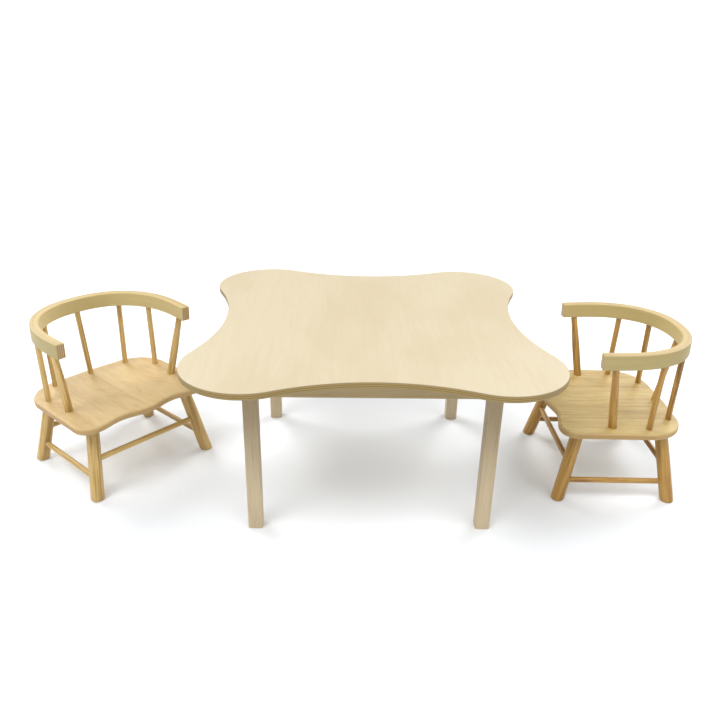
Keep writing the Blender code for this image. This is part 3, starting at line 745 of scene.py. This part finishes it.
def make_top_screw(corner):
    """A pan-headed wood screw that rises through the corner block into the top."""
    node = f"top_screw_{corner}"
    low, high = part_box(node)
    head_radius = (high.x - low.x) / 2
    points = node_points(node)
    shank = [point for point in points if point[2] > (low.z + high.z) / 2]
    middle = (low + high) / 2
    radius = max(math.hypot(point[0] - middle.x, point[1] - middle.y) for point in shank)
    head_height = min(point[2] for point in points if point[2] > low.z + 0.0005) - low.z
    length = high.z - low.z
    skin = Skin(node)
    add_turned(skin, [(head_radius * 0.20, 0.0007), (head_radius * 0.30, 0.0), (head_radius * 0.75, 0.0002),
                      (head_radius * 0.93, head_height * 0.35), (head_radius, head_height * 0.75),
                      (head_radius, head_height), (radius, head_height)], THREAD_SIDES)
    add_thread(skin, head_height + 0.0005, length - 0.0003, radius, SCREW_THREAD_DEPTH, SCREW_PITCH,
               taper=0.8)
    skin.ring(circle(radius * 0.08, length, THREAD_SIDES))
    skin.finish(STEEL, "table", Matrix.Translation((middle.x, middle.y, low.z)))


# ------------------------------------------------------------------ chair

def chair_frame(body):
    """The chair's own frame: on the floor under the middle of its seat, +Y the way it pulls out."""
    joint = next(j for j in frame["joints"] if j["child"] == body)
    back = Vector(joint["axis"]).normalized()
    side = Vector((back.y, -back.x, 0.0))
    turn = Matrix((side, back, Vector((0.0, 0.0, 1.0)))).transposed().to_4x4()
    seat = node_points(f"{body}_seat", turn.inverted())
    middle = (seat.min(axis=0) + seat.max(axis=0)) / 2
    return turn @ Matrix.Translation((middle[0], middle[1], 0.0))


def seat_outline(half_width, front, back):
    """Round corners, a slightly bowed back and a front edge with two shallow dips."""
    crest = half_width - SEAT_FRONT_CORNER
    corner = (half_width - SEAT_BACK_CORNER, back - SEAT_BACK_BULGE - SEAT_BACK_CORNER)
    points = []
    for x in np.linspace(-crest, crest, 65):
        dip = SEAT_SCALLOP * (1 - math.cos(math.tau * x / crest)) / 2
        points.append((x, front + dip))
    points += arc((crest, front + SEAT_FRONT_CORNER), SEAT_FRONT_CORNER, -math.pi / 2, 0.0, 20)[1:]
    points += arc(corner, SEAT_BACK_CORNER, 0.0, math.pi / 2, 30)
    for x in np.linspace(corner[0], -corner[0], 24, endpoint=False):
        bulge = SEAT_BACK_BULGE * (1 + math.cos(math.pi * x / corner[0])) / 2
        points.append((x, back - SEAT_BACK_BULGE + bulge))
    points += arc((-corner[0], corner[1]), SEAT_BACK_CORNER, math.pi / 2, math.pi, 30)
    points += arc((-crest, front + SEAT_FRONT_CORNER), SEAT_FRONT_CORNER, math.pi, 1.5 * math.pi, 20)
    return points


def make_seat(body, chair):
    node = f"{body}_seat"
    points = node_points(node, chair.inverted())
    low, high = points.min(axis=0), points.max(axis=0)
    skin = Skin(node, along_y)
    add_slab(skin, seat_outline(high[0], low[1], high[1]), low[2], high[2], SEAT_EDGE_RADIUS, 1.0)
    skin.finish(SEAT_BEECH, body, chair)


def rail_line(half_width, centre_back, depth):
    """The rail's middle line in plan, from the +X arm round the back to the -X arm."""
    power = 2 / RAIL_SQUARENESS
    arms = np.linspace(ARM_LENGTH, 0.0, 14, endpoint=False)
    line = [(half_width - ARM_TOE_IN * (ahead / ARM_LENGTH) ** 2, centre_back - ahead) for ahead in arms]
    for angle in np.linspace(0.0, math.pi, 121):
        x = math.copysign(half_width * abs(math.cos(angle)) ** power, math.cos(angle))
        line.append((x, centre_back + depth * math.sin(angle) ** power))
    line += [(-x, y) for x, y in reversed(line[:len(arms)])]
    return np.array(line)


def make_arm_rail(body, chair):
    """The U-shaped rail: a rounded rectangular section swept along its line, with eased ends."""
    node = f"{body}_arm_rail"
    heights = node_points(node, chair.inverted())[:, 2]
    lift = Matrix.Translation((0.0, 0.0, (heights.min() + heights.max()) / 2))
    tilt = chair @ lift @ Matrix.Rotation(RAIL_RISE, 4, "X")
    points = node_points(node, tilt.inverted())
    low, high = points.min(axis=0), points.max(axis=0)
    half = RAIL_THICKNESS / 2
    centre_back = low[1] + ARM_LENGTH
    line = rail_line(high[0] - half, centre_back, high[1] - half - centre_back)

    # Points crowd together where the bend starts, so the line is laid out again at even steps.
    steps = np.linalg.norm(np.diff(line, axis=0), axis=1)
    run = np.concatenate(([0.0], np.cumsum(steps)))
    ends = RAIL_EDGE_RADIUS * (1 - np.cos(quarter()))
    eased = RAIL_EDGE_RADIUS * (1 - np.sin(quarter()))
    between = np.linspace(RAIL_FIRST_STEP, run[-1] - RAIL_FIRST_STEP, RAIL_STEPS)
    lengths = np.concatenate((ends, between, run[-1] - ends[::-1]))
    shrink = np.concatenate((eased, np.zeros(RAIL_STEPS), eased[::-1]))
    line = np.column_stack([np.interp(lengths, run, line[:, axis]) for axis in (0, 1)])
    smooth = np.column_stack([np.interp(run, lengths, line[:, axis]) for axis in (0, 1)])
    along = np.gradient(smooth, run, axis=0)
    along = np.column_stack([np.interp(lengths, run, along[:, axis]) for axis in (0, 1)])
    along /= np.linalg.norm(along, axis=1)[:, None]

    skin = Skin(node)
    last = len(lengths) - 1
    turns = np.concatenate([np.linspace(turn, turn + 1, CORNER_STEPS) for turn in range(4)])
    upright = np.abs(np.sin(turns * math.pi / 2))

    def section_ring(index, inset, edge):
        """The section across the rail at one step, shrunk by inset, with u across it and v up it."""
        section = rounded_rectangle((-half + inset, low[2] + inset), (half - inset, high[2] - inset),
                                    RAIL_EDGE_RADIUS)
        x, y = line[index]
        heading = along[index]
        ring = [(x + heading[1] * u, y - heading[0] * u, v) for u, v in section]
        skin.ring(ring, edge=edge, places=[(u, v, lengths[index]) for u, v in section])

    section_ring(0, shrink[0] + END_FACE_BAND, np.ones(len(upright)))
    for index, inset in enumerate(shrink):
        end_share = inset / RAIL_EDGE_RADIUS
        section_ring(index, inset, np.maximum(RAIL_TOP_LINES * upright**4, end_share))
    section_ring(last, shrink[last] + END_FACE_BAND, np.ones(len(upright)))
    skin.finish(BENT_PLY, body, tilt)


def make_leg(body, corner, chair):
    """A splayed turned leg: cut level at the floor and under the seat, with a rounded foot and a tenon."""
    node = f"{body}_leg_{corner}"
    points = node_points(node, chair.inverted())
    seat_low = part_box(f"{body}_seat")[0].z
    heights = points[:, 2]
    shoulder_points = points[np.abs(heights - seat_low) < SHOULDER_BAND]
    foot_points = points[heights < SOLE_BAND]
    tip_points = points[heights > heights.max() - TIP_BAND]
    head = Vector((shoulder_points.min(axis=0) + shoulder_points.max(axis=0)) / 2)
    foot = Vector((foot_points.min(axis=0) + foot_points.max(axis=0)) / 2)
    lean = aligned(foot, head)
    along = (head - foot).normalized()

    def reach(cloud):
        """The largest distance of these points from the leg's axis."""
        return max((Vector(p) - foot - along * (Vector(p) - foot).dot(along)).length for p in cloud)

    head_radius = reach(shoulder_points)
    foot_radius = reach(points[(heights > FULL_FOOT[0]) & (heights < FULL_FOOT[1])])
    tenon_radius = reach(tip_points)
    right = lean.to_3x3() @ Vector((1.0, 0.0, 0.0))
    ahead = lean.to_3x3() @ Vector((0.0, 1.0, 0.0))

    def level_ring(radius, height):
        """Where a round leg of that radius meets a level plane."""
        ring = []
        for angle in np.linspace(0.0, math.tau, ROUND_SIDES, endpoint=False):
            spoke = (right * math.cos(angle) + ahead * math.sin(angle)) * radius
            distance = (height - foot.z - spoke.z) / along.z
            ring.append(foot + spoke + along * distance)
        return ring

    def grain_along_leg(point):
        return lean.inverted() @ Vector(point)

    skin = Skin(node, grain_along_leg)
    rounding = CHAIR_FOOT_ROUNDING
    skin.ring(level_ring(foot_radius - rounding - SOLE_INSET, 0.0))
    for angle in quarter():
        inset = rounding * (1 - math.sin(angle))
        height = rounding * (1 - math.cos(angle))
        skin.ring(level_ring(foot_radius - inset, height), wear=math.sin(2 * angle))
    for share in np.linspace(0.1, 1.0, 8):
        height = rounding + (head.z - rounding) * share
        skin.ring(level_ring(foot_radius + (head_radius - foot_radius) * share, height))
    skin.ring(level_ring(tenon_radius, head.z))
    tip = heights.max() - TENON_SHORT
    skin.ring(level_ring(tenon_radius, tip))
    skin.ring(level_ring(tenon_radius * 0.9, tip + TENON_CHAMFER))
    skin.finish(BEECH, body, chair)


def make_chair(body):
    chair = chair_frame(body)
    make_seat(body, chair)
    make_arm_rail(body, chair)
    for place in ("left", "middle", "right"):
        make_rod(f"{body}_back_spindle_{place}", BEECH, body, chair)
    for place in ("left", "right"):
        make_rod(f"{body}_side_spindle_{place}", BEECH, body, chair)
        make_rod(f"{body}_arm_post_{place}", BEECH, body, chair)
    for place in ("front", "back", "left", "right"):
        make_rod(f"{body}_stretcher_{place}", BEECH, body, chair)
    for corner in CORNERS:
        make_leg(body, corner, chair)


# ------------------------------------------------------------------ studio

def make_floor():
    """A wide, flat sheet of pale studio paper."""
    g = Graph("studio_paper")
    mottle = g.noise(g.node("ShaderNodeTexCoord", {}).outputs["Object"], 1.5, 2.0)
    g.set(Base_Color=g.mix(mottle, colour(*PAPER), colour(*[1.01 * c for c in PAPER])), Roughness=0.7)
    bm = bmesh.new()
    bmesh.ops.create_circle(bm, cap_ends=True, segments=64, radius=FLOOR_RADIUS)
    mesh = bpy.data.meshes.new("studio_floor")
    bm.to_mesh(mesh)
    bm.free()
    mesh.materials.append(g.material)
    floor = bpy.data.objects.new("studio_floor", mesh)
    bpy.context.scene.collection.objects.link(floor)


def make_sun(name, source, strength, width):
    """A soft far light that shines from the direction source, and is that many degrees wide."""
    light = bpy.data.lights.new(name, "SUN")
    light.energy = strength
    light.angle = math.radians(width)
    lamp = bpy.data.objects.new(name, light)
    lamp.rotation_euler = Vector(source).to_track_quat("Z", "Y").to_euler()
    bpy.context.scene.collection.objects.link(lamp)


def make_world():
    """A white surround that the camera sees at full white and that lights the set only faintly."""
    world = bpy.data.worlds.new("studio")
    world.use_nodes = True
    tree = world.node_tree
    surround = tree.nodes["Background"]
    surround.inputs["Color"].default_value = colour(1.0, 1.0, 1.0)
    seen = tree.nodes.new("ShaderNodeLightPath")
    choose = tree.nodes.new("ShaderNodeMix")
    tree.links.new(seen.outputs["Is Camera Ray"], choose.inputs[0])
    choose.inputs[2].default_value = GLOW
    choose.inputs[3].default_value = GLOW_SEEN
    tree.links.new(choose.outputs[0], surround.inputs["Strength"])
    bpy.context.scene.world = world


def make_studio():
    make_floor()
    make_world()
    for name, (source, strength, width) in SUNS.items():
        make_sun(name, source, strength, width)
    bpy.context.scene.view_settings.view_transform = "Standard"


def make_camera():
    ahead = Vector((math.sin(CAMERA_YAW) * math.cos(CAMERA_DOWN),
                    math.cos(CAMERA_YAW) * math.cos(CAMERA_DOWN), -math.sin(CAMERA_DOWN)))
    level = Vector((math.cos(CAMERA_YAW), -math.sin(CAMERA_YAW), 0.0))
    right = level * math.cos(CAMERA_ROLL) + level.cross(ahead) * math.sin(CAMERA_ROLL)
    data = bpy.data.cameras.new("camera")
    data.sensor_width = 36.0
    data.lens = CAMERA_LENS
    data.clip_start, data.clip_end = 0.05, 100.0
    camera = bpy.data.objects.new("camera", data)
    bpy.context.scene.collection.objects.link(camera)
    pose = Matrix((right, right.cross(ahead), -ahead)).transposed().to_4x4()
    pose.translation = CAMERA_PLACE
    camera.matrix_world = pose
    bpy.context.scene.camera = camera


make_table()
for chair_body in CHAIRS:
    make_chair(chair_body)
make_studio()
make_camera()
